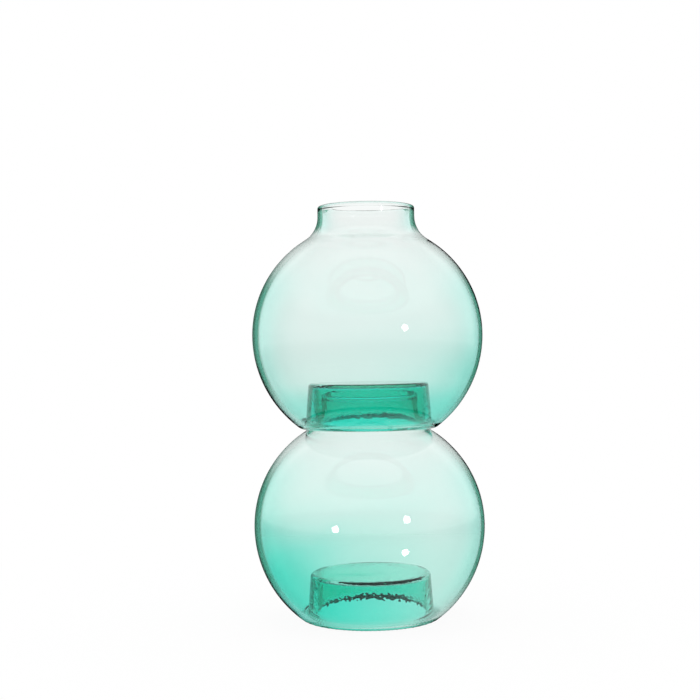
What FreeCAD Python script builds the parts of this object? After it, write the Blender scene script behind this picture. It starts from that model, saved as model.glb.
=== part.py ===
"""Two blown glass vases of one design, stacked: the upper one's recess sits over the lower one's neck.

Each vase is one wall of glass: a round bulb with a slightly flattened shoulder, a short straight neck with
a fire-polished bead, a flat foot ring, and a tall round recess that is pushed up into the base.

Frame: millimetres, +Z up, origin at the middle of the lower vase's foot. Both vases share the Z axis.
"""

import FreeCAD, Part
import math
import os
import Sketcher

# Driving dimensions in millimetres. Each one can be changed by itself.
SIZES = (
    ("bulb_radius", "60.0", "outside of the bulb at its widest"),
    ("shoulder_offset", "2.0", "how far the upper half's arc is centred off the axis, which flattens it"),
    ("neck_radius", "25.3", "outside of the neck"),
    ("neck_fillet_radius", "14.5", "hollow curve from the shoulder up to the neck"),
    ("neck_length", "5.5", "straight neck, from the end of that curve to the top of the rim"),
    ("rim_bead_radius", "1.4", "fire-polished bead round the mouth"),
    ("glass_wall", "2.4", "thickness of the bulb and the neck"),
    ("foot_ring_width", "5.8", "from the recess's wall to the heel, before either is rounded"),
    ("heel_radius", "5.0", "rounding of the foot's outer edge"),
    ("lip_radius", "3.4", "rounding of the recess's mouth, which is the edge that sits on a shoulder"),
    ("recess_clearance", "4.0", "radial room between a neck and the recess over it"),
    ("rim_clearance", "5.0", "room between a seated rim and the recess's roof"),
    ("recess_corner_radius", "1.0", "rounding where the recess's wall meets its roof"),
    ("recess_wall", "2.0", "glass between the recess and the bulb's hollow, at the roof"),
    ("recess_wall_flare", "1.6", "how much thicker that wall grows down to the foot"),
    ("roof_thickness", "1.8", "glass over the recess"),
    ("roof_edge_radius", "1.8", "rounding of that glass round its edge, inside the bulb"),
    ("valley_radius", "1.5", "bottom of the hollow, between the recess's wall and the bulb"),
    ("seat_clearance", "0.3", "gap between the upper vase's lip and the lower vase's shoulder"),
)

FULL_TURN = 360.0
TINY = 1e-4

doc = FreeCAD.newDocument("StackedVases")


def make_sheet():
    """The spreadsheet that holds every driving dimension."""
    sizes = doc.addObject("Spreadsheet::Sheet", "Sizes")
    for row, (alias, number, meaning) in enumerate(SIZES, start=1):
        sizes.set("A%d" % row, alias)
        sizes.set("B%d" % row, number)
        sizes.set("C%d" % row, meaning)
        sizes.setAlias("B%d" % row, alias)
    doc.recompute()
    return sizes


sheet = make_sheet()

# Places that follow from the driving dimensions, as expressions over the sheet.
RECESS_RADIUS = "(Sizes.neck_radius + Sizes.recess_clearance)"
FOOT_RADIUS = "(%s + Sizes.foot_ring_width)" % RECESS_RADIUS
CENTRE_HEIGHT = "sqrt(Sizes.bulb_radius ^ 2 - %s ^ 2)" % FOOT_RADIUS
SHOULDER_RADIUS = "(Sizes.bulb_radius - Sizes.shoulder_offset)"
FILLET_CENTRE = "(Sizes.neck_radius + Sizes.neck_fillet_radius)"
FILLET_RISE = "sqrt((%s + Sizes.neck_fillet_radius) ^ 2 - (%s - Sizes.shoulder_offset) ^ 2)" % (
    SHOULDER_RADIUS,
    FILLET_CENTRE,
)
NECK_FOOT = "(%s + %s)" % (CENTRE_HEIGHT, FILLET_RISE)
RIM_TOP = "(%s + Sizes.neck_length)" % NECK_FOOT
BEAD_CENTRE = "(%s - Sizes.rim_bead_radius)" % RIM_TOP

# The lip is a small round edge that rests inside the hollow curve of the shoulder below. The centres of
# the two curves are this far apart, along the line through them and up the axis.
LIP_REACH = "(Sizes.neck_fillet_radius - Sizes.lip_radius - Sizes.seat_clearance)"
LIP_INSET = "(Sizes.neck_fillet_radius - Sizes.recess_clearance - Sizes.lip_radius)"
LIP_DROP = "sqrt(%s ^ 2 - %s ^ 2)" % (LIP_REACH, LIP_INSET)
STACK_PITCH = "(%s - %s - Sizes.lip_radius)" % (NECK_FOOT, LIP_DROP)
RECESS_DEPTH = "(%s - %s + Sizes.rim_clearance)" % (RIM_TOP, STACK_PITCH)

ROOF_TOP = "(%s + Sizes.roof_thickness)" % RECESS_DEPTH
HOLLOW_ROOF_RADIUS = "(%s + Sizes.recess_wall)" % RECESS_RADIUS
HOLLOW_FOOT_RADIUS = "(%s + Sizes.recess_wall_flare)" % HOLLOW_ROOF_RADIUS
HOLLOW_RADIUS = "(Sizes.bulb_radius - Sizes.glass_wall)"
HOLLOW_SHOULDER = "(%s - Sizes.glass_wall)" % SHOULDER_RADIUS
HOLLOW_FILLET = "(Sizes.neck_fillet_radius + Sizes.glass_wall)"
BORE_RADIUS = "(Sizes.neck_radius - Sizes.glass_wall)"


def number(expression):
    """The value in millimetres of an expression over the sheet."""
    found = sheet.evalExpression(expression)
    return float(getattr(found, "Value", found))


def point(across, up):
    """A point of a half section, which lies in the XZ plane: across is the radius, up is the height."""
    return FreeCAD.Vector(across, up, 0)


class Section:
    """A half section drawn in a sketch on a body's XZ plane, one edge after another."""

    def __init__(self, body, name):
        plane = [f for f in body.Origin.OriginFeatures if f.Role == "XZ_Plane"][0]
        self.sketch = body.newObject("Sketcher::SketchObject", name)
        self.sketch.AttachmentSupport = [(plane, "")]
        self.sketch.MapMode = "FlatFace"

    def line(self, start, end):
        return self.sketch.addGeometry(Part.LineSegment(start, end), False)

    def arc(self, centre, radius, first, last):
        """An arc that runs anticlockwise between two angles in radians."""
        circle = Part.Circle(centre, FreeCAD.Vector(0, 0, 1), radius)
        return self.sketch.addGeometry(Part.ArcOfCircle(circle, first, last), False)

    def circle(self, centre, radius):
        return self.sketch.addGeometry(Part.Circle(centre, FreeCAD.Vector(0, 0, 1), radius), False)

    def tie(self, kind, *where):
        return self.sketch.addConstraint(Sketcher.Constraint(kind, *where))

    def size(self, name, kind, expression, *where):
        """A dimension of the sketch that the sheet drives."""
        index = self.tie(kind, *where, number(expression))
        self.sketch.renameConstraint(index, name)
        self.sketch.setExpression("Constraints." + name, expression)


# A constraint names a point of an edge by its place in this list.
EDGE_POINTS = ("whole edge", "start", "end", "centre")
START = EDGE_POINTS.index("start")
END = EDGE_POINTS.index("end")
CENTRE = EDGE_POINTS.index("centre")

# A sketch counts its own two axes downwards from -1, and its origin is the start of the first.
SKETCH_AXES = ("across", "up")
ORIGIN = -1 - SKETCH_AXES.index("across")
UP_AXIS = -1 - SKETCH_AXES.index("up")


def draw_outside(body):
    """Half section of the blown form as if it were solid: foot, bulb, shoulder, hollow curve, neck."""
    centre_height = number(CENTRE_HEIGHT)
    neck_foot = number(NECK_FOOT)
    bead_centre = number(BEAD_CENTRE)
    foot_radius = number(FOOT_RADIUS)
    neck_radius = number("Sizes.neck_radius")
    fillet_centre = number(FILLET_CENTRE)
    foot_angle = math.atan2(-centre_height, foot_radius)
    neck_angle = math.atan2(neck_foot - centre_height, fillet_centre - number("Sizes.shoulder_offset"))

    draw = Section(body, "OutsideSection")
    foot = draw.line(point(0, 0), point(foot_radius, 0))
    belly = draw.arc(point(0, centre_height), number("Sizes.bulb_radius"), foot_angle, 0)
    shoulder_centre = point(number("Sizes.shoulder_offset"), centre_height)
    shoulder = draw.arc(shoulder_centre, number(SHOULDER_RADIUS), 0, neck_angle)
    fillet_radius = number("Sizes.neck_fillet_radius")
    fillet = draw.arc(point(fillet_centre, neck_foot), fillet_radius, math.pi, math.pi + neck_angle)
    neck = draw.line(point(neck_radius, neck_foot), point(neck_radius, bead_centre))
    top = draw.line(point(neck_radius, bead_centre), point(0, bead_centre))
    axis = draw.line(point(0, bead_centre), point(0, 0))

    draw.tie("Coincident", foot, START, ORIGIN, START)
    draw.tie("Horizontal", foot)
    draw.tie("Coincident", foot, END, belly, START)
    draw.tie("PointOnObject", belly, CENTRE, UP_AXIS)
    draw.tie("Tangent", belly, END, shoulder, START)
    draw.tie("Horizontal", belly, CENTRE, shoulder, CENTRE)
    draw.tie("Tangent", shoulder, END, fillet, END)
    draw.tie("Tangent", fillet, START, neck, START)
    draw.tie("Vertical", neck)
    draw.tie("Coincident", neck, END, top, START)
    draw.tie("Horizontal", top)
    draw.tie("Coincident", top, END, axis, START)
    draw.tie("Coincident", axis, END, ORIGIN, START)
    draw.tie("Vertical", axis)
    draw.size("foot_radius", "DistanceX", FOOT_RADIUS, foot, START, foot, END)
    draw.size("bulb_radius", "Radius", "Sizes.bulb_radius", belly)
    draw.size("shoulder_radius", "Radius", SHOULDER_RADIUS, shoulder)
    draw.size("fillet_radius", "Radius", "Sizes.neck_fillet_radius", fillet)
    draw.size("neck_radius", "DistanceX", "Sizes.neck_radius", ORIGIN, START, neck, START)
    draw.size("bead_centre", "DistanceY", BEAD_CENTRE, ORIGIN, START, neck, END)
    return draw.sketch


def draw_recess(body):
    """Half section of the recess in the base: a plain round pocket, open downwards."""
    radius = number(RECESS_RADIUS)
    depth = number(RECESS_DEPTH)
    draw = Section(body, "RecessSection")
    mouth = draw.line(point(0, 0), point(radius, 0))
    wall = draw.line(point(radius, 0), point(radius, depth))
    roof = draw.line(point(radius, depth), point(0, depth))
    axis = draw.line(point(0, depth), point(0, 0))
    draw.tie("Coincident", mouth, START, ORIGIN, START)
    for one, other in ((mouth, wall), (wall, roof), (roof, axis), (axis, mouth)):
        draw.tie("Coincident", one, END, other, START)
    draw.tie("Horizontal", mouth)
    draw.tie("Vertical", wall)
    draw.tie("Horizontal", roof)
    draw.tie("Vertical", axis)
    draw.size("recess_radius", "DistanceX", RECESS_RADIUS, mouth, START, mouth, END)
    draw.size("recess_depth", "DistanceY", RECESS_DEPTH, wall, START, wall, END)
    return draw.sketch


def draw_hollow(body):
    """Half section of the hollow inside, which goes round the recess and out through the neck."""
    centre_height = number(CENTRE_HEIGHT)
    neck_foot = number(NECK_FOOT)
    bead_centre = number(BEAD_CENTRE)
    roof_top = number(ROOF_TOP)
    roof_radius = number(HOLLOW_ROOF_RADIUS)
    corner = number("Sizes.roof_edge_radius")
    valley = number("Sizes.valley_radius")
    hollow_radius = number(HOLLOW_RADIUS)
    bore_radius = number(BORE_RADIUS)
    fillet_centre = number(FILLET_CENTRE)
    offset = number("Sizes.shoulder_offset")

    # The wall leans out by its flare over its height, so its two round ends turn a little short of square.
    lean = math.atan2(number("Sizes.recess_wall_flare"), roof_top)
    corner_centre = point(roof_radius - corner, roof_top - corner)
    side = point(math.cos(lean), math.sin(lean))
    wall_top = corner_centre + side * corner
    valley_across = number(HOLLOW_FOOT_RADIUS) + valley
    valley_up = centre_height - math.sqrt((hollow_radius - valley) ** 2 - valley_across**2)
    valley_centre = point(valley_across, valley_up)
    wall_foot = valley_centre - side * valley
    valley_angle = math.atan2(valley_up - centre_height, valley_across)
    neck_angle = math.atan2(neck_foot - centre_height, fillet_centre - offset)

    draw = Section(body, "HollowSection")
    roof = draw.line(point(0, roof_top), point(roof_radius - corner, roof_top))
    shoulder_corner = draw.arc(corner_centre, corner, lean, math.pi / 2)
    wall = draw.line(wall_top, wall_foot)
    bottom = draw.arc(valley_centre, valley, math.pi + lean, 2 * math.pi + valley_angle)
    belly = draw.arc(point(0, centre_height), hollow_radius, valley_angle, 0)
    shoulder = draw.arc(point(offset, centre_height), number(HOLLOW_SHOULDER), 0, neck_angle)
    fillet_centre_point = point(fillet_centre, neck_foot)
    fillet = draw.arc(fillet_centre_point, number(HOLLOW_FILLET), math.pi, math.pi + neck_angle)
    bore = draw.line(point(bore_radius, neck_foot), point(bore_radius, bead_centre))
    top = draw.line(point(bore_radius, bead_centre), point(0, bead_centre))
    axis = draw.line(point(0, bead_centre), point(0, roof_top))

    draw.tie("PointOnObject", roof, START, UP_AXIS)
    draw.tie("Horizontal", roof)
    draw.tie("Tangent", roof, END, shoulder_corner, END)
    draw.tie("Tangent", shoulder_corner, START, wall, START)
    draw.tie("Tangent", wall, END, bottom, START)
    draw.tie("Tangent", bottom, END, belly, START)
    draw.tie("PointOnObject", belly, CENTRE, UP_AXIS)
    draw.tie("Tangent", belly, END, shoulder, START)
    draw.tie("Horizontal", belly, CENTRE, shoulder, CENTRE)
    draw.tie("Tangent", shoulder, END, fillet, END)
    draw.tie("Tangent", fillet, START, bore, START)
    draw.tie("Vertical", bore)
    draw.tie("Coincident", bore, END, top, START)
    draw.tie("Horizontal", top)
    draw.tie("Coincident", top, END, axis, START)
    draw.tie("Coincident", axis, END, roof, START)
    draw.tie("Vertical", axis)
    corner_place = "(%s - Sizes.roof_edge_radius)" % HOLLOW_ROOF_RADIUS
    draw.size("roof_top", "DistanceY", ROOF_TOP, ORIGIN, START, roof, START)
    draw.size("corner_radius", "Radius", "Sizes.roof_edge_radius", shoulder_corner)
    draw.size("corner_place", "DistanceX", corner_place, ORIGIN, START, shoulder_corner, CENTRE)
    valley_place = "(%s + Sizes.valley_radius)" % HOLLOW_FOOT_RADIUS
    draw.size("valley_radius", "Radius", "Sizes.valley_radius", bottom)
    draw.size("valley_place", "DistanceX", valley_place, ORIGIN, START, bottom, CENTRE)
    draw.size("hollow_radius", "Radius", HOLLOW_RADIUS, belly)
    draw.size("centre_height", "DistanceY", CENTRE_HEIGHT, ORIGIN, START, belly, CENTRE)
    draw.size("hollow_shoulder", "Radius", HOLLOW_SHOULDER, shoulder)
    draw.size("hollow_fillet", "Radius", HOLLOW_FILLET, fillet)
    draw.size("bore_radius", "DistanceX", BORE_RADIUS, ORIGIN, START, bore, START)
    draw.size("bead_centre", "DistanceY", BEAD_CENTRE, ORIGIN, START, bore, END)
    return draw.sketch


def draw_bead(body):
    """Section of the bead round the mouth, level with the neck outside and a little proud of it inside."""
    draw = Section(body, "BeadSection")
    across = "(Sizes.neck_radius - Sizes.rim_bead_radius)"
    ring = draw.circle(point(number(across), number(BEAD_CENTRE)), number("Sizes.rim_bead_radius"))
    draw.size("bead_radius", "Radius", "Sizes.rim_bead_radius", ring)
    draw.size("bead_across", "DistanceX", across, ORIGIN, START, ring, CENTRE)
    draw.size("bead_centre", "DistanceY", BEAD_CENTRE, ORIGIN, START, ring, CENTRE)
    return draw.sketch


def turn(body, kind, name, sketch):
    """A sketch turned right round the Z axis, to add glass (Revolution) or take it away (Groove)."""
    before = body.Shape.Volume if body.Tip else 0.0
    feature = body.newObject("PartDesign::" + kind, name)
    feature.Profile = sketch
    feature.ReferenceAxis = (sketch, ["V_Axis"])
    feature.Angle = FULL_TURN
    sketch.Visibility = False
    doc.recompute()
    after = feature.Shape.Volume
    worked = after < before if kind == "Groove" else after > before
    if not worked:
        raise RuntimeError("%s changed nothing in %s" % (name, body.Label))
    return feature


def ring_edge(shape, radius, height):
    """The name of the round edge with this radius at this height on the Z axis."""
    for index, edge in enumerate(shape.Edges, start=1):
        curve = edge.Curve
        if isinstance(curve, Part.Circle):
            if abs(curve.Radius - radius) < TINY and abs(curve.Center.z - height) < TINY:
                return "Edge%d" % index
    raise RuntimeError("no round edge of radius %.3f at height %.3f" % (radius, height))


def round_off(body, name, across, up, radius):
    """A fillet on one round edge of the body. All three places are expressions over the sheet."""
    base = body.Tip
    feature = body.newObject("PartDesign::Fillet", name)
    feature.Base = (base, [ring_edge(base.Shape, number(across), number(up))])
    feature.setExpression("Radius", radius)
    doc.recompute()
    return feature


def make_vase(name):
    """One vase, standing on its foot at the origin of its own body."""
    body = doc.addObject("PartDesign::Body", name)
    body.Label = name
    doc.recompute()
    turn(body, "Revolution", "BlownForm", draw_outside(body))
    turn(body, "Groove", "Recess", draw_recess(body))
    turn(body, "Groove", "Hollow", draw_hollow(body))
    turn(body, "Revolution", "RimBead", draw_bead(body))
    round_off(body, "Heel", FOOT_RADIUS, "0", "Sizes.heel_radius")
    round_off(body, "Lip", RECESS_RADIUS, "0", "Sizes.lip_radius")
    round_off(body, "RecessCorner", RECESS_RADIUS, RECESS_DEPTH, "Sizes.recess_corner_radius")
    return body


def make_stack():
    """The lower vase at the origin, and the upper one seated on its shoulder."""
    lower = make_vase("lower_vase")
    upper = make_vase("upper_vase")
    upper.setExpression("Placement.Base.z", STACK_PITCH)
    doc.recompute()
    return [lower, upper]


def check_document(bodies):
    """Stops before anything is written if a feature failed or a vase isn't one sound solid."""
    for item in doc.Objects:
        if "Invalid" in item.State or "Error" in item.State:
            raise RuntimeError("%s is in state %s" % (item.Name, item.State))
    for body in bodies:
        if body.Shape.isNull() or not body.Shape.isValid():
            raise RuntimeError("%s has no sound shape" % body.Label)
        if len(body.Shape.Solids) != 1:
            raise RuntimeError("%s isn't one solid" % body.Label)


def write_steps(bodies):
    os.makedirs("parts", exist_ok=True)
    for body in bodies:
        body.Shape.exportStep("parts/%s.step" % body.Label)
        box = body.Shape.BoundBox
        print(
            "%s: z %.2f to %.2f, diameter %.2f, glass %.0f mm3"
            % (body.Label, box.ZMin, box.ZMax, box.XLength, body.Shape.Volume)
        )


vases = make_stack()
check_document(vases)
write_steps(vases)
print("pitch %.3f, recess depth %.3f" % (number(STACK_PITCH), number(RECESS_DEPTH)))
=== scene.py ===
"""The looks of two blown glass vases, stacked: sea-green glass with a hammered recess in each base.

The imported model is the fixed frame. Every size here is in metres, in that model's own frame.
"""

import math
from typing import NamedTuple

import bmesh
import bpy
from mathutils import Euler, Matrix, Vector


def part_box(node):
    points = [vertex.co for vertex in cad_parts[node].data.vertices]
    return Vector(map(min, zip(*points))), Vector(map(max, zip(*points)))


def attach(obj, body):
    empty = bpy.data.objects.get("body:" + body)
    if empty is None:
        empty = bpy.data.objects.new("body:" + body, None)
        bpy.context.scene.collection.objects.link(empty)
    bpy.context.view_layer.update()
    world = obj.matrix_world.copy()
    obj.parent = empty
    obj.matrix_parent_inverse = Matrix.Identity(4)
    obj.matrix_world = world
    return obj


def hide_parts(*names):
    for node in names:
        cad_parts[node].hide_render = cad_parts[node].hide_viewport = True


bl_info = {
    "name": "Stacked Glass Vases",
    "version": (1, 0, 0),
    "blender": (4, 5, 0),
    "location": "View3D > Sidebar > Vases",
    "description": "Blown glass vases with hammered base recesses, on a white studio floor",
    "category": "Add Mesh",
}

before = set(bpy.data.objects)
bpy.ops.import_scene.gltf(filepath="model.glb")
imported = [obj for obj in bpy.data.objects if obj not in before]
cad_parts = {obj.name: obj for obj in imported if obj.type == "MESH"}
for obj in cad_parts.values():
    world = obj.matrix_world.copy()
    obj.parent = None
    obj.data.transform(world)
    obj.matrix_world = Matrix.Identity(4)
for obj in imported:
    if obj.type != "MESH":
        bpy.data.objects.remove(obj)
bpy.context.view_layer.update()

MM = 0.001
LOWER, UPPER = "lower_vase", "upper_vase"
WHITE = (1.0, 1.0, 1.0, 1.0)

LOWER_LOW, LOWER_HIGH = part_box(LOWER)
UPPER_LOW, UPPER_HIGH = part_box(UPPER)
BULB_RADIUS = (LOWER_HIGH[0] - LOWER_LOW[0]) / 2
VASE_HEIGHT = LOWER_HIGH[2] - LOWER_LOW[2]
STACK_PITCH = UPPER_LOW[2] - LOWER_LOW[2]
STACK_HEIGHT = UPPER_HIGH[2] - LOWER_LOW[2]

# Rings nearer to each other than this are one ring.
SAME_RING = 1e-6
# Share of the recess's roof, from its middle, that is smooth.
SMOOTH_ROOF = 0.85
# Part of the rim's bead that is painted dark, a painted shade, in degrees from level, and the step into it.
PAINTED_DARK_BEAD = (60, 120)
BEAD_STEP = 5

# The blown wall's drift: its second wave round the bulb, its twist for each metre up, and its fading.
DRIFT_WAVE = 0.25
DRIFT_TWIST = 40
DRIFT_FADE_FROM = 1.9
DRIFT_LEAST = 0.15

# How far up the glass is coloured, in bulb radii.
COLOURED_HEIGHT = 1.6
# Where the colour pools and settles, from 0 at that height to 1 at the foot, and how strongly it pools.
POOL_FROM, POOL_RUN, POOL_STRENGTH = 0.3, 0.4, 0.75
SETTLED_FROM, SETTLED_RUN = 0.76, 0.12
# The tone's share away from the gather's side, and what that side adds to it.
TONE_FAR, TONE_NEAR = 0.7, 0.6

# The darker patch on a recess's roof: its strength, middle and half sizes, in mm.
PATCH_STRENGTH = 1.9
PATCH_MIDDLE = (-10, -7)
PATCH_HALF = (13, 5)

# The brim where a ring has no wall behind it, and the flattest that a ring is taken to be.
NO_WALL_BRIM = 0.85
LEAST_SIDEWAYS = 0.05

# The middle of the dimples' depth, as the pattern gives it.
DIMPLE_MIDDLE = 0.45

# Where the glass's looks fade: by how upright its normal is, by how it faces, and past its brim.
# The slant and edge tints are partly painted shade, and the outline is painted shade.
UPRIGHT_FADE = (0.35, 0.75)
SLANT_SHADE_FADE = (0.15, 0.85)
EDGE_SHADE_FADE = (-0.03, 0.01)
OUTLINE_SHADE_FADE = (0.06, 0.14)
STREAK_RANGE, STREAK_TONE = (0.25, 0.75), (0.8, 1.2)

# The studio's light by direction, as parts of a unit vector along Y or Z, and its levels.
ROOM_LIGHT = 0.8
BELT_BOTTOM, BELT_TOP, BELT_DIMMING = (0.60, 0.70), (0.86, 0.95), 0.45
BACKDROP_EDGE = (0.55, 0.80)
TURNED_FADE, TURNED_LEVELS = (0.35, 0.80), (0.28, 0.98)
FLOOR_EDGE = (-0.25, 0.10)
CEILING_EDGE = (0.45, 0.90)

# The floor: its paper, how far it lies under the foot, and the distances over which its looks change.
PAPER = (0.9, 0.9, 0.9, 1.0)
FLOOR_DROP = -0.3 * MM
SHADOW_FADE, SHADOW_LEVELS = (0.03, 0.30), (0.95, 1.0)
TURNED_REACH = (0.08, 0.50)
MIRRORED_REACH = (0.3, 2.5)

# Lamps: name, the vase it lights, azimuth and elevation in degrees, distance and size in metres.
LAMP_RADIANCE = 28.0
BULB_MIDDLE = 0.42
BULB_LAMPS = (
    ("upper_lamp", UPPER, 36.5, 6.0, 2.2, 0.24),
    ("lower_lamp", LOWER, 35.0, 10.5, 0.5, 0.06),
    ("lower_left_lamp", LOWER, -29.0, 3.0, 0.25, 0.026),
    ("lower_low_lamp", LOWER, 28.0, -14.5, 0.15, 0.014),
)
CEILING_LAMP = {"azimuth": 0.0, "elevation": 89.0, "distance": 1.3, "size": 0.9, "radiance": 3.0}


class VaseLook(NamedTuple):
    """How one vase's colour varies: its tone, the angle of the side that the gather's colour pools on, how
    far the recess pales away from that side, and how much deeper the bulb is all round its foot."""

    tone: float
    gather: float
    spread: float
    settled: float


LOOKS = {
    LOWER: VaseLook(tone=1.0, gather=math.pi, spread=0.5, settled=0.0),
    UPPER: VaseLook(tone=0.5, gather=0.0, spread=0.0, settled=0.3),
}

# What each point of a vase carries for the relief and the material.
MARKS = ("hammered", "ribbed", "deep", "lined", "brim", "tone")


def length_property(name, description, default):
    return bpy.props.FloatProperty(name=name, description=description, default=default, unit="LENGTH")


def colour_property(name, description, default):
    return bpy.props.FloatVectorProperty(
        name=name, description=description, subtype="COLOR", size=3, min=0.0, max=1.0, default=default
    )


class VaseSizes(bpy.types.PropertyGroup):
    """Sizes of one vase, from the model that the pieces replace."""

    bulb_radius: length_property("Bulb radius", "Outside of the bulb at its widest", BULB_RADIUS)
    vase_height: length_property("Vase height", "From the foot to the top of the rim", VASE_HEIGHT)
    shoulder_offset: length_property(
        "Shoulder offset", "How far the upper half's arc is centred off the axis", 2.0 * MM
    )
    neck_radius: length_property("Neck radius", "Outside of the neck", 25.3 * MM)
    neck_fillet: length_property("Neck curve", "Hollow curve from the shoulder to the neck", 14.5 * MM)
    bead_radius: length_property("Rim bead", "Fire-polished bead round the mouth", 1.4 * MM)
    wall: length_property("Wall", "Thickness of the bulb and the neck", 2.4 * MM)
    foot_radius: length_property("Foot radius", "Outside of the foot before it is rounded", 35.1 * MM)
    heel_radius: length_property("Heel", "Rounding of the foot's outer edge", 5.0 * MM)
    lip_radius: length_property("Lip", "Rounding of the recess's mouth", 3.4 * MM)
    recess_radius: length_property("Recess radius", "Inside of the recess in the base", 29.3 * MM)
    recess_depth: length_property("Recess depth", "From the foot to the recess's roof", 22.038 * MM)
    recess_corner: length_property("Recess corner", "Rounding where the recess meets its roof", 1.0 * MM)
    recess_wall: length_property("Recess wall", "Glass round the recess, at its roof", 2.0 * MM)
    recess_flare: length_property("Recess flare", "How much thicker that glass is at the foot", 1.6 * MM)
    roof_thickness: length_property("Roof", "Glass over the recess", 1.8 * MM)
    roof_edge: length_property("Roof edge", "Rounding of the roof's edge inside the bulb", 1.8 * MM)
    valley_radius: length_property("Valley", "Bottom of the hollow, round the recess", 1.5 * MM)
    void_shift: length_property("Void shift", "How far the recess lies to the right in its glass", 0.6 * MM)
    wall_drift: length_property("Wall drift", "How much the blown wall is thicker on the left", 0.6 * MM)
    segments: bpy.props.IntProperty(
        name="Segments",
        description="Faces round each bulb, with twice as many round its recess",
        default=240,
        min=48,
    )


class ReliefSizes(bpy.types.PropertyGroup):
    """The marks that the mould leaves on the base recess and the foot."""

    hammer_depth: length_property("Hammer depth", "Depth of the hammered dimples", 0.12 * MM)
    hammer_cell: length_property("Hammer cell", "Distance from dimple to dimple", 1.2 * MM)
    rib_depth: length_property("Rib depth", "Depth of the knurled ribs on the foot", 0.22 * MM)
    rib_count: bpy.props.IntProperty(
        name="Ribs", description="Knurled ribs round the foot", default=96, min=12
    )


class GlassLooks(bpy.types.PropertyGroup):
    """Colour and clarity of the glass."""

    tint: colour_property(
        "Tint", "Colour that the glass turns white light into over a long way", (0.09, 0.71, 0.50)
    )
    density: bpy.props.FloatProperty(
        name="Density", description="How strongly each metre of glass takes up light", default=20.0, min=0.0
    )
    body_tint: colour_property("Body", "Wall of the bulb where the gather was thickest", (0.70, 0.97, 0.91))
    # Painted shade in part: a wall seen at a slant turns greener for the longer way through it, and a little
    # darker.
    slant_green_and_shade: colour_property("Slant", "Wall seen at a slant", (0.62, 0.98, 0.93))
    deep_tint: colour_property("Recess", "Wall pushed up round the recess", (0.03, 0.84, 0.72))
    # Painted shade in part: a wall seen edge on turns deep green for the longer way through it, and dark as
    # painted shade.
    edge_green_and_shade: colour_property("Edge", "Where the view runs along inside a wall", (0.03, 0.26, 0.16))
    # Painted shade: a nearly black outline at a wall's edge and on the top of the rim's bead.
    outline_shade_tint: colour_property("Outline", "The outermost line of a wall", (0.02, 0.12, 0.07))
    refraction: bpy.props.FloatProperty(
        name="Refraction", description="Index of refraction of soda glass", default=1.52, min=1.0
    )


class StageLooks(bpy.types.PropertyGroup):
    """Camera and studio of the photograph."""

    lens_mm: bpy.props.FloatProperty(
        name="Lens", description="Focal length on a 36 mm sensor", default=66.86, unit="CAMERA"
    )
    camera_distance: length_property("Camera distance", "Along the floor, from the axis", 0.68)
    camera_height: length_property("Camera height", "Above the floor", 139.9 * MM)
    aim_across: length_property("Aim across", "What the camera points at, off the axis", -9.1 * MM)
    aim_up: length_property("Aim up", "What the camera points at, above the floor", 139.9 * MM)
    roll: bpy.props.FloatProperty(
        name="Roll",
        description="Turn of the camera about its own axis",
        default=math.radians(-0.69),
        subtype="ANGLE",
    )
    floor_size: length_property("Floor size", "Side of the square floor", 12.0)


def arc(centre, radius, first, last, steps):
    """Points of an arc in the half section, in so many steps from one angle to another, in degrees."""
    angles = (first + (last - first) * i / steps for i in range(steps + 1))
    return [
        (centre[0] + radius * math.cos(math.radians(a)), centre[1] + radius * math.sin(math.radians(a)))
        for a in angles
    ]


def straight(start, end, steps):
    """Points from start to end in so many steps, both ends left in."""
    return [
        (start[0] + (end[0] - start[0]) * i / steps, start[1] + (end[1] - start[1]) * i / steps)
        for i in range(steps + 1)
    ]


def degrees_between(up, across):
    return math.degrees(math.atan2(up, across))


def held(value, low, high):
    """The value, kept between low and high."""
    return min(max(value, low), high)


class Row:
    """One ring of points: its radius and height, and how it takes the relief and the glass's variation.

    hammered and ribbed scale the relief. inner is how far the ring follows the wall's drift, and void how
    far it follows the recess's shift. deep is the recess's colour, lined a painted dark line, painted shade,
    for the outline, and roof lets the patch show. fine doubles the points. wall is the glass behind the
    ring, and without one its brim is NO_WALL_BRIM.
    """

    def __init__(
        self,
        place,
        hammered=0.0,
        ribbed=0.0,
        inner=0.0,
        void=0.0,
        deep=0.0,
        lined=0.0,
        roof=0.0,
        fine=False,
        wall=0.0,
    ):
        self.radius, self.height = place
        self.hammered = hammered
        self.ribbed = ribbed
        self.inner = inner
        self.void = void
        self.deep = deep
        self.lined = lined
        self.roof = roof
        self.fine = fine
        self.wall = wall


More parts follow.
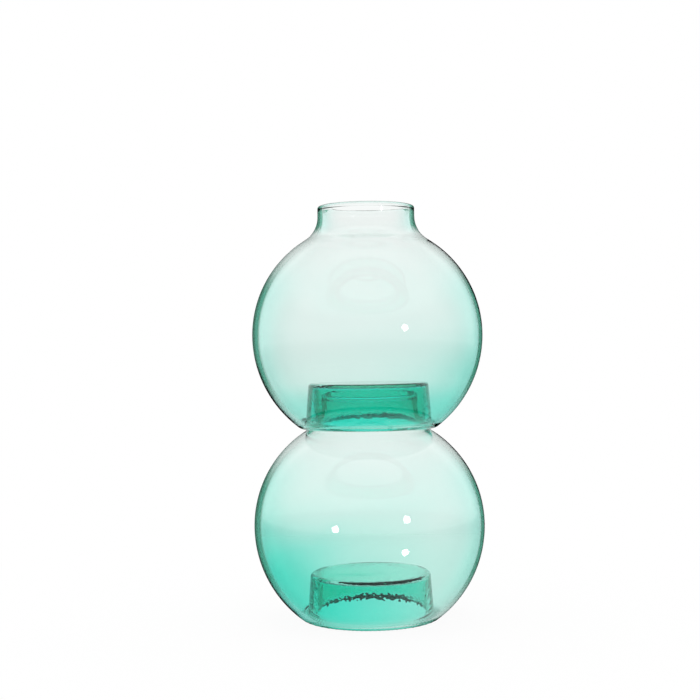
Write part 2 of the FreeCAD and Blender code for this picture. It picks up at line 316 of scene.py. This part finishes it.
def half_section(v):
    """Rings of one vase from the middle of the recess's roof, out over the foot and the bulb, down the
    inside and back to the middle above that roof."""
    centre_height = math.sqrt(v.bulb_radius**2 - v.foot_radius**2)
    centre = (0.0, centre_height)
    shoulder_centre = (v.shoulder_offset, centre_height)
    shoulder_radius = v.bulb_radius - v.shoulder_offset
    fillet_across = v.neck_radius + v.neck_fillet
    rise = math.sqrt((shoulder_radius + v.neck_fillet) ** 2 - (fillet_across - v.shoulder_offset) ** 2)
    fillet_centre = (fillet_across, centre_height + rise)
    neck_angle = degrees_between(rise, fillet_across - v.shoulder_offset)
    bead_height = v.vase_height - v.bead_radius
    bead_centre = (v.neck_radius - v.bead_radius, bead_height)
    bore = v.neck_radius - v.wall
    bead_meets_bore = math.degrees(math.acos((bore - bead_centre[0]) / v.bead_radius))

    heel_across = math.sqrt((v.bulb_radius - v.heel_radius) ** 2 - (centre_height - v.heel_radius) ** 2)
    heel_centre = (heel_across, v.heel_radius)
    heel_angle = degrees_between(v.heel_radius - centre_height, heel_across)

    roof_top = v.recess_depth + v.roof_thickness
    lean = degrees_between(v.recess_flare, roof_top)
    corner_centre = (v.recess_radius + v.recess_wall - v.roof_edge, roof_top - v.roof_edge)
    hollow_radius = v.bulb_radius - v.wall
    valley_across = v.recess_radius + v.recess_wall + v.recess_flare + v.valley_radius
    valley_height = centre_height - math.sqrt((hollow_radius - v.valley_radius) ** 2 - valley_across**2)
    valley_angle = degrees_between(valley_height - centre_height, valley_across)

    rows = []

    def add(points, **marks):
        for place in points:
            if rows and math.dist(place, (rows[-1].radius, rows[-1].height)) < SAME_RING:
                continue
            rows.append(Row(place, **marks))

    pushed_up = {"void": 1.0, "fine": True, "wall": v.recess_wall}
    roof_edge = v.recess_radius - v.recess_corner
    roof_middle = (0.0, v.recess_depth)
    roof_smooth = (roof_edge * SMOOTH_ROOF, v.recess_depth)
    add(straight(roof_middle, roof_smooth, 5), deep=0.08, **pushed_up)
    add(straight(roof_smooth, (roof_edge, v.recess_depth), 7), hammered=0.5, deep=0.12, **pushed_up)
    corner_point = (roof_edge, v.recess_depth - v.recess_corner)
    add(arc(corner_point, v.recess_corner, 90, 0, 5), hammered=1.0, deep=0.6, **pushed_up)
    wall_low = (v.recess_radius, v.lip_radius)
    wall_high = (v.recess_radius, v.recess_depth - v.recess_corner)
    wall_middle = (v.recess_radius, (wall_high[1] + wall_low[1]) / 2)
    add(straight(wall_high, wall_middle, 18), hammered=1.0, deep=1.0, **pushed_up)
    add(straight(wall_middle, wall_low, 18), hammered=0.7, deep=1.0, **pushed_up)
    lip_centre = (v.recess_radius + v.lip_radius, v.lip_radius)
    add(arc(lip_centre, v.lip_radius, 180, 270, 7), ribbed=0.6, deep=0.5, fine=True, wall=v.recess_wall)
    add(arc(heel_centre, v.heel_radius, 270, 360 + heel_angle, 6), ribbed=1.0, deep=0.25, wall=v.wall)
    add(arc(centre, v.bulb_radius, heel_angle, 0, 24), wall=v.wall)
    add(arc(shoulder_centre, shoulder_radius, 0, neck_angle, 26), wall=v.wall)
    add(arc(fillet_centre, v.neck_fillet, 180 + neck_angle, 180, 12), wall=v.wall)
    add(straight((v.neck_radius, fillet_centre[1]), (v.neck_radius, bead_height), 4), wall=v.wall)
    # The top of the bead carries a painted dark line, a painted shade.
    shade_from, shade_to = PAINTED_DARK_BEAD
    add(arc(bead_centre, v.bead_radius, 0, shade_from - BEAD_STEP, 4), wall=v.wall)
    add(arc(bead_centre, v.bead_radius, shade_from, shade_to, 4), lined=1.0, wall=v.wall)
    add(arc(bead_centre, v.bead_radius, shade_to + BEAD_STEP, 360 - bead_meets_bore, 10), wall=v.wall)
    bead_foot = rows[-1].height
    add(straight((bore, bead_foot), (bore, fillet_centre[1]), 4), inner=0.3)
    add(arc(fillet_centre, v.neck_fillet + v.wall, 180, 180 + neck_angle, 10), inner=0.6)
    add(arc(shoulder_centre, shoulder_radius - v.wall, neck_angle, 0, 24), inner=1.0)
    add(arc(centre, hollow_radius, 0, valley_angle, 22), inner=1.0)
    add(arc((valley_across, valley_height), v.valley_radius, valley_angle, -180 + lean, 6), deep=0.4)
    wall_foot = (rows[-1].radius, rows[-1].height)
    turn_in = arc(corner_centre, v.roof_edge, lean, 90, 8)
    add(straight(wall_foot, turn_in[0], 12), deep=1.0, wall=v.recess_wall)
    add(turn_in, hammered=1.0, deep=0.5, fine=True, wall=v.recess_wall)
    add(straight(turn_in[-1], (0.0, roof_top), 16), deep=0.04, roof=1.0)
    return rows


def edge_facing(wall, radius):
    """The facing, from 0 square on to 1 edge on, past which a line of sight misses the hollow inside."""
    share = max(0.0, 1.0 - wall / max(radius, wall))
    return 1.0 - math.sqrt(1.0 - share**2)


def level_radius(rows, index):
    """How tightly the surface turns about the axis at one ring: the ring's radius along its normal."""
    low, high = rows[max(index - 1, 0)], rows[min(index + 1, len(rows) - 1)]
    run = math.dist((low.radius, low.height), (high.radius, high.height))
    sideways = abs(high.height - low.height) / run
    return rows[index].radius / max(sideways, LEAST_SIDEWAYS)


def ring_point(row, v, angle):
    """Where a ring's point lies at an angle, across and along, and how much the wall drifts there."""
    even = held(DRIFT_FADE_FROM - row.height / v.bulb_radius, DRIFT_LEAST, 1.0)
    wave = math.cos(angle) + DRIFT_WAVE * math.sin(2 * angle + DRIFT_TWIST * row.height)
    drift = even * v.wall_drift * wave
    radius = row.radius + row.inner * drift
    return radius * math.cos(angle) + row.void * v.void_shift, radius * math.sin(angle), drift


def point_marks(row, v, look, turn_radius, angle, point):
    """The marks of one point, in the order of MARKS. Colour is deepest low down, on the gather's side."""
    across, along, drift = point
    low = 1.0 - held(row.height / (COLOURED_HEIGHT * v.bulb_radius), 0.0, 1.0)
    brim = NO_WALL_BRIM
    if row.wall:
        brim = edge_facing(max(row.wall - drift, v.wall / 4), turn_radius)
    near = 0.5 + 0.5 * math.cos(angle - look.gather)
    pooled = POOL_STRENGTH * (look.tone * held((low - POOL_FROM) / POOL_RUN, 0.0, 1.0)) ** 2 * near**3
    pooled += look.settled * held((low - SETTLED_FROM) / SETTLED_RUN, 0.0, 1.0)
    deep = row.deep * (1.0 - look.spread * (1.0 - near)) if row.deep else pooled
    off_patch = sum(
        ((place / MM - middle) / half) ** 2
        for place, middle, half in zip((across, along), PATCH_MIDDLE, PATCH_HALF)
    )
    deep += row.roof * look.spread * PATCH_STRENGTH * math.exp(-off_patch)
    tone = look.tone * low * (TONE_FAR + TONE_NEAR * near)
    return row.hammered, row.ribbed, deep, row.lined, brim, tone


def faces_between(lower, upper):
    """Faces that join two rings, each given as its first point, how many it has, and its steps round.
    A ring of one point is a pole. Where one ring has twice the steps, three triangles fill each wide one."""
    (low, low_count, low_around), (high, high_count, high_around) = lower, upper
    around = min(low_around, high_around)
    faces = []
    for i in range(around):
        j = (i + 1) % around
        if low_count == 1 or high_count == 1:
            ring, pole = (high, low) if low_count == 1 else (low, high)
            faces.append((pole, ring + i, ring + j))
        elif low_around != high_around:
            fine, coarse = (low, high) if low_around > high_around else (high, low)
            first, middle, last = (fine + (2 * i + step) % (2 * around) for step in range(3))
            faces.append((first, coarse + i, middle))
            faces.append((middle, coarse + i, coarse + j))
            faces.append((middle, coarse + j, last))
        else:
            faces.append((low + i, high + i, high + j, low + j))
    return faces


def lathe(name, rows, v, base_height, look):
    """A closed mesh with one ring of points for each row, single points at the two poles, and its marks."""
    points, faces, rings = [], [], []
    marks = {mark: [] for mark in MARKS}
    for index, row in enumerate(rows):
        around = v.segments * 2 if row.fine else v.segments
        count = 1 if row.radius == 0.0 else around
        rings.append((len(points), count, around))
        turn_radius = level_radius(rows, index)
        for i in range(count):
            angle = 2 * math.pi * i / around
            point = ring_point(row, v, angle)
            points.append((point[0], point[1], base_height + row.height))
            for mark, value in zip(MARKS, point_marks(row, v, look, turn_radius, angle, point)):
                marks[mark].append(value)
    for lower, upper in zip(rings, rings[1:]):
        faces += faces_between(lower, upper)
    mesh = bpy.data.meshes.new(name)
    mesh.from_pydata(points, [], faces)
    for mark, values in marks.items():
        mesh.attributes.new(mark, "FLOAT", "POINT").data.foreach_set("value", values)
    bm = bmesh.new()
    bm.from_mesh(mesh)
    bmesh.ops.recalc_face_normals(bm, faces=bm.faces)
    bm.to_mesh(mesh)
    bm.free()
    mesh.shade_smooth()
    piece = bpy.data.objects.new(name, mesh)
    bpy.context.scene.collection.objects.link(piece)
    return piece


class Tree:
    """Adds nodes to a tree and joins them in one call each."""

    def __init__(self, tree):
        self.tree = tree

    def add(self, kind, inputs=(), **settings):
        """A node of this kind. inputs maps a socket's name or place to a value or another node's output."""
        node = self.tree.nodes.new(kind)
        for key, value in settings.items():
            setattr(node, key, value)
        for key, value in dict(inputs).items():
            if isinstance(value, bpy.types.NodeSocket):
                self.tree.links.new(value, node.inputs[key])
            else:
                node.inputs[key].default_value = value
        return node

    def maths(self, operation, a, b=0.0, clamp=False):
        return self.add("ShaderNodeMath", {0: a, 1: b}, operation=operation, use_clamp=clamp).outputs[0]

    def between(self, value, low, high, out_low=0.0, out_high=1.0):
        """Value moved from one range to another with a smooth start and end, held at both."""
        inputs = {"Value": value, "From Min": low, "From Max": high, "To Min": out_low, "To Max": out_high}
        return self.add("ShaderNodeMapRange", inputs, interpolation_type="SMOOTHSTEP").outputs["Result"]

    def blend(self, share, a, b, kind="MIX"):
        """Two colours mixed, with b at a share of 1. The mix node's colour inputs are numbers 6 and 7."""
        node = self.add("ShaderNodeMix", data_type="RGBA", blend_type=kind)
        for place, value in ((0, share), (6, a), (7, b)):
            if isinstance(value, bpy.types.NodeSocket):
                self.tree.links.new(value, node.inputs[place])
            else:
                node.inputs[place].default_value = value
        return node.outputs[2]


def relief_tree():
    """Geometry nodes that hammer the recess and knurl the foot where a piece's own masks say so."""
    group = bpy.data.node_groups.new("Mould relief", "GeometryNodeTree")
    face = group.interface
    face.new_socket("Geometry", in_out="INPUT", socket_type="NodeSocketGeometry")
    for name, kind in (
        ("Hammer depth", "NodeSocketFloat"),
        ("Hammer cell", "NodeSocketFloat"),
        ("Rib depth", "NodeSocketFloat"),
        ("Rib count", "NodeSocketInt"),
        ("Seed", "NodeSocketFloat"),
        ("Glass", "NodeSocketMaterial"),
    ):
        face.new_socket(name, in_out="INPUT", socket_type=kind)
    face.new_socket("Geometry", in_out="OUTPUT", socket_type="NodeSocketGeometry")
    t = Tree(group)
    given = t.add("NodeGroupInput").outputs
    place = t.add("GeometryNodeInputPosition").outputs[0]
    normal = t.add("GeometryNodeInputNormal").outputs[0]
    masks = {
        name: t.add("GeometryNodeInputNamedAttribute", {"Name": name}, data_type="FLOAT").outputs[0]
        for name in ("hammered", "ribbed")
    }
    cells_per_metre = t.maths("DIVIDE", 1.0, given["Hammer cell"])
    dimples = t.add(
        "ShaderNodeTexVoronoi",
        {"Vector": place, "W": given["Seed"], "Scale": cells_per_metre, "Smoothness": 0.4, "Randomness": 0.8},
        voronoi_dimensions="4D",
        feature="SMOOTH_F1",
    ).outputs["Distance"]
    dimple_depth = t.maths("MULTIPLY", t.maths("SUBTRACT", dimples, DIMPLE_MIDDLE), given["Hammer depth"])
    hammered = t.maths("MULTIPLY", dimple_depth, masks["hammered"])
    axes = t.add("ShaderNodeSeparateXYZ", {0: place}).outputs
    turn = t.maths("ARCTAN2", axes["Y"], axes["X"])
    wave = t.maths("COSINE", t.maths("MULTIPLY", turn, given["Rib count"]))
    grooves = t.maths("MULTIPLY", t.maths("SUBTRACT", wave, 1.0), 0.5)
    rib_depth = t.maths("MULTIPLY", grooves, given["Rib depth"])
    ribbed = t.maths("MULTIPLY", rib_depth, masks["ribbed"])
    shift = t.maths("ADD", hammered, ribbed)
    offset = t.add("ShaderNodeVectorMath", {0: normal, "Scale": shift}, operation="SCALE").outputs[0]
    moved = t.add("GeometryNodeSetPosition", {"Geometry": given["Geometry"], "Offset": offset})
    real = t.add("GeometryNodeRealizeInstances", {0: moved.outputs[0]})
    glass = t.add("GeometryNodeSetMaterial", {"Geometry": real.outputs[0], "Material": given["Glass"]})
    t.add("NodeGroupOutput", {0: glass.outputs[0]})
    return group


def with_relief(piece, group, seed, glass):
    """The piece as a plain mesh with the relief in it, and no modifier left."""
    r = bpy.context.scene.vase_relief
    modifier = piece.modifiers.new("Mould relief", "NODES")
    modifier.node_group = group
    values = {
        "Hammer depth": r.hammer_depth,
        "Hammer cell": r.hammer_cell,
        "Rib depth": r.rib_depth,
        "Rib count": r.rib_count,
        "Seed": seed,
        "Glass": glass,
    }
    for item in group.interface.items_tree:
        if item.in_out == "INPUT" and item.name in values:
            modifier[item.identifier] = values[item.name]
    seen = piece.evaluated_get(bpy.context.evaluated_depsgraph_get())
    made = bpy.data.meshes.new_from_object(seen)
    piece.modifiers.remove(modifier)
    plain = piece.data
    piece.data = made
    made.name = piece.name
    bpy.data.meshes.remove(plain)
    made.shade_smooth()


def glass_material():
    """Sea-green soda glass, deep in the recess's wall, greener where a wall is seen edge on. Towards a wall's
    edge and on the rim's bead it also takes painted shade: a darker band and a nearly black outline.
    """
    looks = bpy.context.scene.vase_glass
    material = bpy.data.materials.new("Sea-green blown glass")
    material.use_nodes = True
    material.node_tree.nodes.clear()
    t = Tree(material.node_tree)
    place = t.add("ShaderNodeTexCoord").outputs["Object"]
    marks = {
        name: t.add("ShaderNodeAttribute", attribute_name=name).outputs["Fac"]
        for name in ("deep", "lined", "brim", "tone")
    }
    streaks = t.add(
        "ShaderNodeTexNoise", {"Vector": place, "Scale": 18.0, "Detail": 2.0, "Distortion": 0.6}
    ).outputs["Fac"]
    tone = t.maths("MULTIPLY", marks["tone"], t.between(streaks, *STREAK_RANGE, *STREAK_TONE))
    facing = t.add("ShaderNodeLayerWeight", {"Blend": 0.5}).outputs["Facing"]
    normal = t.add("ShaderNodeNewGeometry").outputs["Normal"]
    upright = t.maths("ABSOLUTE", t.add("ShaderNodeSeparateXYZ", {0: normal}).outputs["Z"])
    sideways = t.between(upright, *UPRIGHT_FADE, 1.0, 0.0)
    # Painted shade in part: walls at a slant, where their normal lies sideways, turn greener and a little
    # darker.
    slant_shade = t.maths("MULTIPLY", t.between(facing, *SLANT_SHADE_FADE), sideways)
    body = t.blend(tone, WHITE, looks.body_tint[:] + (1.0,))
    body = t.blend(slant_shade, body, looks.slant_green_and_shade[:] + (1.0,), kind="MULTIPLY")
    deep = t.blend(marks["deep"], body, looks.deep_tint[:] + (1.0,))
    # Painted shade in part: past the brim, a wall seen edge on turns to a dark green band.
    past_brim = t.maths("SUBTRACT", facing, marks["brim"])
    edge_shade_band = t.maths("MULTIPLY", t.between(past_brim, *EDGE_SHADE_FADE), sideways)
    colour = t.blend(edge_shade_band, deep, looks.edge_green_and_shade[:] + (1.0,))
    # Painted shade: a nearly black outline past the brim and on the rim's bead.
    line = t.maths("MULTIPLY", t.between(past_brim, *OUTLINE_SHADE_FADE), sideways)
    line = t.maths("MAXIMUM", line, marks["lined"])
    colour = t.blend(line, colour, looks.outline_shade_tint[:] + (1.0,))
    ripple = t.add("ShaderNodeTexNoise", {"Vector": place, "Scale": 45.0, "Detail": 1.0}).outputs["Fac"]
    bump = t.add("ShaderNodeBump", {"Strength": 0.05, "Distance": 0.4 * MM, "Height": ripple}).outputs[0]
    surface = t.add(
        "ShaderNodeBsdfPrincipled",
        {
            "Base Color": colour,
            "Roughness": 0.0,
            "IOR": looks.refraction,
            "Transmission Weight": 1.0,
            "Normal": bump,
        },
    )
    volume = t.add("ShaderNodeVolumeAbsorption", {"Color": (*looks.tint, 1.0), "Density": looks.density})
    t.add("ShaderNodeOutputMaterial", {"Surface": surface.outputs[0], "Volume": volume.outputs[0]})
    return material


def studio_levels(t, way):
    """How bright the studio is along a direction, to three kinds of light: what came straight through
    glass, what a wall turned on its way through, and what a surface mirrored from outside."""
    axes = t.add("ShaderNodeSeparateXYZ", {0: way}).outputs
    belt = t.maths("MULTIPLY", t.between(axes["Z"], *BELT_BOTTOM), t.between(axes["Z"], *BELT_TOP, 1.0, 0.0))
    through = t.maths("SUBTRACT", 1.0, t.maths("MULTIPLY", belt, BELT_DIMMING))
    beside_backdrop = t.between(axes["Y"], *BACKDROP_EDGE, 1.0, 0.0)
    turned = t.between(axes["Y"], *TURNED_FADE, *TURNED_LEVELS)
    above_floor = t.between(axes["Z"], *FLOOR_EDGE)
    room = t.maths("MULTIPLY", beside_backdrop, above_floor)
    ceiling = t.between(axes["Z"], *CEILING_EDGE)
    return through, t.maths("MULTIPLY", turned, through), t.maths("MAXIMUM", room, ceiling)


def ray_kinds(t):
    """Shares for a camera ray, then for the three kinds of light of studio_levels. A ray let through glass
    counts as a glossy one as well, and its glossy depth says how often a wall mirrored it before."""
    paths = t.add("ShaderNodeLightPath").outputs
    left_glass = paths["Is Transmission Ray"]
    was_turned = t.maths("MINIMUM", paths["Glossy Depth"], 1.0)
    through = t.maths("MULTIPLY", left_glass, t.maths("SUBTRACT", 1.0, was_turned))
    turned = t.maths("MULTIPLY", left_glass, was_turned)
    mirrored = t.maths("SUBTRACT", paths["Is Glossy Ray"], left_glass, clamp=True)
    return paths["Is Camera Ray"], through, turned, mirrored


def floor_material():
    """White paper that keeps a faint shadow round the foot. The camera and light straight through glass
    see it white, turned light sees it dimmer away from the foot, and mirrored light only far off."""
    material = bpy.data.materials.new("White floor")
    material.use_nodes = True
    material.node_tree.nodes.clear()
    t = Tree(material.node_tree)
    kinds = ray_kinds(t)
    place = t.add("ShaderNodeNewGeometry").outputs["Position"]
    way = t.add("ShaderNodeVectorMath", {0: place}, operation="NORMALIZE").outputs[0]
    distance = t.add("ShaderNodeVectorMath", {0: place}, operation="LENGTH").outputs["Value"]
    shown = kinds[0]
    for kind in kinds[1:]:
        shown = t.maths("ADD", shown, kind, clamp=True)
    share = t.maths("MULTIPLY", shown, t.between(distance, *SHADOW_FADE, *SHADOW_LEVELS))
    turned, room = studio_levels(t, way)[1:]
    dimmed = t.maths("MULTIPLY", t.maths("SUBTRACT", 1.0, turned), t.between(distance, *TURNED_REACH))
    turned = t.maths("SUBTRACT", 1.0, dimmed)
    mirrored = t.maths("MULTIPLY", room, t.between(distance, *MIRRORED_REACH))
    level = 1.0
    for kind, value in zip(kinds[2:], (turned, mirrored)):
        level = t.maths("ADD", level, t.maths("MULTIPLY", kind, t.maths("SUBTRACT", value, 1.0)))
    paper = t.add("ShaderNodeBsdfDiffuse", {"Color": PAPER})
    white = t.add("ShaderNodeEmission", {"Color": WHITE, "Strength": level})
    mixed = t.add("ShaderNodeMixShader", {0: share, 1: paper.outputs[0], 2: white.outputs[0]})
    t.add("ShaderNodeOutputMaterial", {"Surface": mixed.outputs[0]})
    return material


def studio_world():
    """White to the camera. Light through glass and mirrored light see it brighter or dimmer by direction,
    always neutral, and all other light sees one plain level."""
    world = bpy.data.worlds.new("White studio")
    bpy.context.scene.world = world
    world.use_nodes = True
    world.node_tree.nodes.clear()
    t = Tree(world.node_tree)
    way = t.add("ShaderNodeTexCoord").outputs["Generated"]
    kinds = ray_kinds(t)
    levels = (1.0, *studio_levels(t, way))
    level = ROOM_LIGHT
    for kind, value in zip(kinds, levels):
        level = t.maths("ADD", level, t.maths("MULTIPLY", kind, t.maths("SUBTRACT", value, ROOM_LIGHT)))
    sky = t.add("ShaderNodeBackground", {"Color": WHITE, "Strength": level})
    t.add("ShaderNodeOutputWorld", {"Surface": sky.outputs[0]})


def round_lamp(name, azimuth, elevation, distance, size, radiance, aim):
    """A round lamp that looks at aim. Azimuth 0 is beside the camera and grows to the right, in degrees.
    Glass shows the studio through itself and not this lamp."""
    light = bpy.data.lights.new(name, "AREA")
    light.shape = "DISK"
    light.size = size
    light.energy = radiance * math.pi * math.pi * (size / 2) ** 2
    lamp = bpy.data.objects.new(name, light)
    a, e = math.radians(azimuth), math.radians(elevation)
    way = Vector((math.sin(a) * math.cos(e), -math.cos(a) * math.cos(e), math.sin(e)))
    lamp.location = aim + way * distance
    lamp.rotation_mode = "QUATERNION"
    lamp.rotation_quaternion = way.to_track_quat("Z", "Y")
    lamp.visible_camera = False
    lamp.visible_transmission = False
    bpy.context.scene.collection.objects.link(lamp)
    return lamp


def light_only(lamp, node):
    """Lets a lamp light one vase alone."""
    lit = bpy.data.collections.new(lamp.name + "_lights")
    lit.objects.link(bpy.data.objects[node + "_glass"])
    lamp.light_linking.receiver_collection = lit


class MakeVases(bpy.types.Operator):
    """Blow both vases, with the mould's relief, each on its own body"""

    bl_idname = "vases.make_vases"
    bl_label = "Make Vases"

    def execute(self, context):
        sizes = context.scene.vase_sizes
        glass = glass_material()
        relief = relief_tree()
        rows = half_section(sizes)
        for seed, (node, base) in enumerate(((LOWER, LOWER_LOW[2]), (UPPER, UPPER_LOW[2]))):
            piece = lathe(node + "_glass", rows, sizes, base, LOOKS[node])
            with_relief(piece, relief, float(seed), glass)
            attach(piece, node)
            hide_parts(node)
        return {"FINISHED"}


def lay_floor(size):
    half = size / 2
    corners = [(-half, -half), (half, -half), (half, half), (-half, half)]
    mesh = bpy.data.meshes.new("floor")
    mesh.from_pydata([(x, y, FLOOR_DROP) for x, y in corners], [], [(0, 1, 2, 3)])
    mesh.materials.append(floor_material())
    floor = bpy.data.objects.new("floor", mesh)
    bpy.context.scene.collection.objects.link(floor)


def place_lamps():
    middles = {
        UPPER: Vector((0, 0, STACK_PITCH + VASE_HEIGHT * BULB_MIDDLE)),
        LOWER: Vector((0, 0, VASE_HEIGHT * BULB_MIDDLE)),
    }
    for name, node, azimuth, elevation, distance, size in BULB_LAMPS:
        spot = round_lamp(name, azimuth, elevation, distance, size, LAMP_RADIANCE, middles[node])
        light_only(spot, node)
    ceiling_lamp = round_lamp("ceiling_lamp", aim=Vector((0, 0, STACK_HEIGHT / 2)), **CEILING_LAMP)
    ceiling_lamp.visible_glossy = False


def place_camera(s):
    camera = bpy.data.cameras.new("camera")
    camera.lens = s.lens_mm
    camera.sensor_width = 36.0
    camera.clip_end = 50.0
    seer = bpy.data.objects.new("camera", camera)
    seer.location = (0.0, -s.camera_distance, s.camera_height)
    aim = Vector((s.aim_across, 0.0, s.aim_up))
    seer.rotation_mode = "QUATERNION"
    look = (aim - seer.location).to_track_quat("-Z", "Y")
    seer.rotation_quaternion = look @ Euler((0, 0, s.roll)).to_quaternion()
    bpy.context.scene.collection.objects.link(seer)
    bpy.context.scene.camera = seer


class MakeStage(bpy.types.Operator):
    """Lay the floor, light the studio and set up the camera"""

    bl_idname = "vases.make_stage"
    bl_label = "Make Stage"

    def execute(self, context):
        scene = context.scene
        lay_floor(scene.vase_stage.floor_size)
        studio_world()
        place_lamps()
        place_camera(scene.vase_stage)
        scene.view_settings.view_transform = "Standard"
        scene.cycles.max_bounces = 32
        scene.cycles.transmission_bounces = 32
        scene.cycles.glossy_bounces = 12
        scene.cycles.transparent_max_bounces = 16
        scene.cycles.sample_clamp_indirect = 4.0
        return {"FINISHED"}


class VasePanel(bpy.types.Panel):
    """Sizes, looks and the operators, in the 3D view's sidebar"""

    bl_idname = "VIEW3D_PT_vases"
    bl_label = "Stacked Glass Vases"
    bl_space_type = "VIEW_3D"
    bl_region_type = "UI"
    bl_category = "Vases"

    def draw(self, context):
        for group_name in GROUPS:
            group = getattr(context.scene, group_name)
            box = self.layout.box()
            for name in group.bl_rna.properties.keys():
                if name not in ("rna_type", "name"):
                    box.prop(group, name)
        self.layout.operator(MakeVases.bl_idname)
        self.layout.operator(MakeStage.bl_idname)


GROUPS = {
    "vase_sizes": VaseSizes,
    "vase_relief": ReliefSizes,
    "vase_glass": GlassLooks,
    "vase_stage": StageLooks,
}
CLASSES = (*GROUPS.values(), MakeVases, MakeStage, VasePanel)


def register():
    for cls in CLASSES:
        bpy.utils.register_class(cls)
    for name, group in GROUPS.items():
        setattr(bpy.types.Scene, name, bpy.props.PointerProperty(type=group))


def unregister():
    for name in GROUPS:
        delattr(bpy.types.Scene, name)
    for cls in reversed(CLASSES):
        bpy.utils.unregister_class(cls)


def main():
    register()
    bpy.ops.vases.make_vases()
    bpy.ops.vases.make_stage()


if __name__ == "__main__":
    main()
